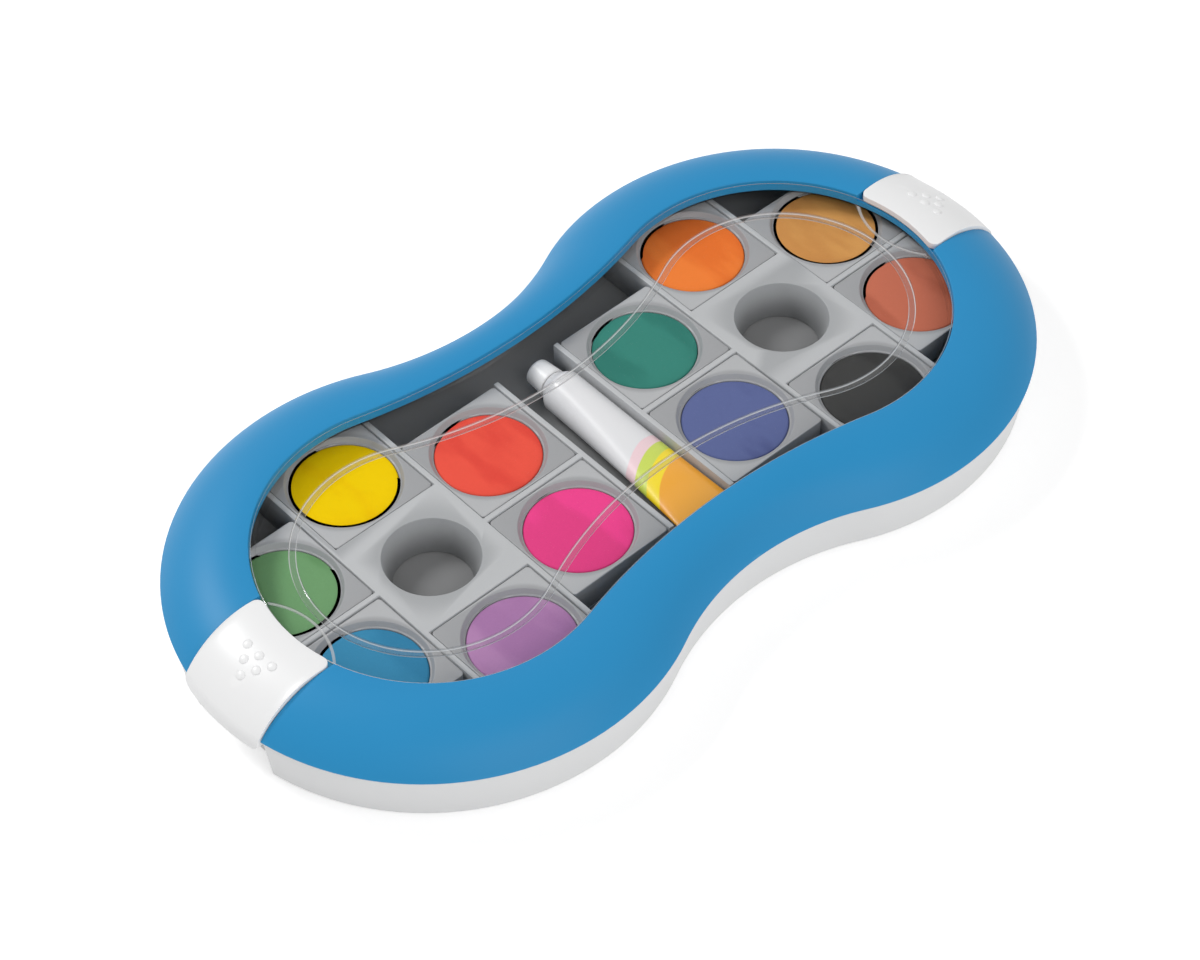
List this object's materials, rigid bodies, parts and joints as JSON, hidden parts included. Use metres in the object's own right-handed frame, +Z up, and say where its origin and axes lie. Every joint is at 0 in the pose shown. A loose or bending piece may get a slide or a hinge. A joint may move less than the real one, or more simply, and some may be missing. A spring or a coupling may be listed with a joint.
{
  "type": "paint box",
  "caption": "Flat figure-eight watercolour box with a blue ring lid round a clear window, white end latches, grey racks of round paint pans, water wells and a tube of white.",
  "frame": {"origin": "centre of the flat underside of the base", "axes": "+Z up, +X along the long side towards the latch next to the amber and brick pans, -Y towards the side seen from the front"},
  "size_m": [0.2778, 0.145, 0.0285],
  "materials": {
    "white_plastic": "satin moulded",
    "charcoal_plastic": "fine matt moulded",
    "grey_plastic": "satin moulded",
    "pan_plastic": "satin moulded",
    "blue_plastic": "satin moulded",
    "clear_plastic": "clear polished polystyrene",
    "latch_plastic": "satin moulded",
    "tube_enamel": "enamelled soft tube, filled",
    "cap_plastic": "satin moulded",
    "paint_green": "matt pressed pigment tablet",
    "paint_blue": "matt pressed pigment tablet",
    "paint_yellow": "matt pressed pigment tablet",
    "paint_purple": "matt pressed pigment tablet",
    "paint_red": "matt pressed pigment tablet",
    "paint_magenta": "matt pressed pigment tablet",
    "paint_teal": "matt pressed pigment tablet",
    "paint_indigo": "matt pressed pigment tablet",
    "paint_orange": "matt pressed pigment tablet",
    "paint_black": "matt pressed pigment tablet",
    "paint_amber": "matt pressed pigment tablet",
    "paint_brick": "matt pressed pigment tablet"
  },
  "bodies": {
    "base": {"base_shell": "white_plastic", "inner_tray": "charcoal_plastic", "pan_rack_left": "grey_plastic", "pan_rack_right": "grey_plastic", "pan_green": "pan_plastic", "pan_blue": "pan_plastic", "pan_yellow": "pan_plastic", "pan_purple": "pan_plastic", "pan_red": "pan_plastic", "pan_magenta": "pan_plastic", "pan_teal": "pan_plastic", "pan_indigo": "pan_plastic", "pan_orange": "pan_plastic", "pan_black": "pan_plastic", "pan_amber": "pan_plastic", "pan_brick": "pan_plastic", "paint_green": "paint_green", "paint_blue": "paint_blue", "paint_yellow": "paint_yellow", "paint_purple": "paint_purple", "paint_red": "paint_red", "paint_magenta": "paint_magenta", "paint_teal": "paint_teal", "paint_indigo": "paint_indigo", "paint_orange": "paint_orange", "paint_black": "paint_black", "paint_amber": "paint_amber", "paint_brick": "paint_brick", "tube_body": "tube_enamel"},
    "lid": {"lid_frame": "blue_plastic", "lid_window": "clear_plastic"},
    "left_latch": {"latch_left": "latch_plastic"},
    "right_latch": {"latch_right": "latch_plastic"},
    "cap": {"tube_cap": "cap_plastic"}
  },
  "joints": [
    {"name": "lid_lift", "type": "slide", "parent": "base", "child": "lid", "axis": [0, 0, 1], "range_m": [0, 0.018]},
    {"name": "latch_left_turn", "type": "hinge", "parent": "base", "child": "left_latch", "pos_m": [-0.13261, 0, 0.013], "axis": [0, -1, 0], "range_deg": [0, 105]},
    {"name": "latch_right_turn", "type": "hinge", "parent": "base", "child": "right_latch", "pos_m": [0.13261, 0, 0.013], "axis": [0, 1, 0], "range_deg": [0, 105]},
    {"name": "cap_turn", "type": "hinge", "parent": "base", "child": "cap", "pos_m": [0.00311, 0.0282, 0.0158], "axis": [0, 1, 0], "range_deg": [0, 540]}
  ],
  "couplings": [
    {"joint": "latch_left_turn", "follows": "lid_lift", "rad_per_m": 101.8},
    {"joint": "latch_right_turn", "follows": "lid_lift", "rad_per_m": 101.8}
  ]
}
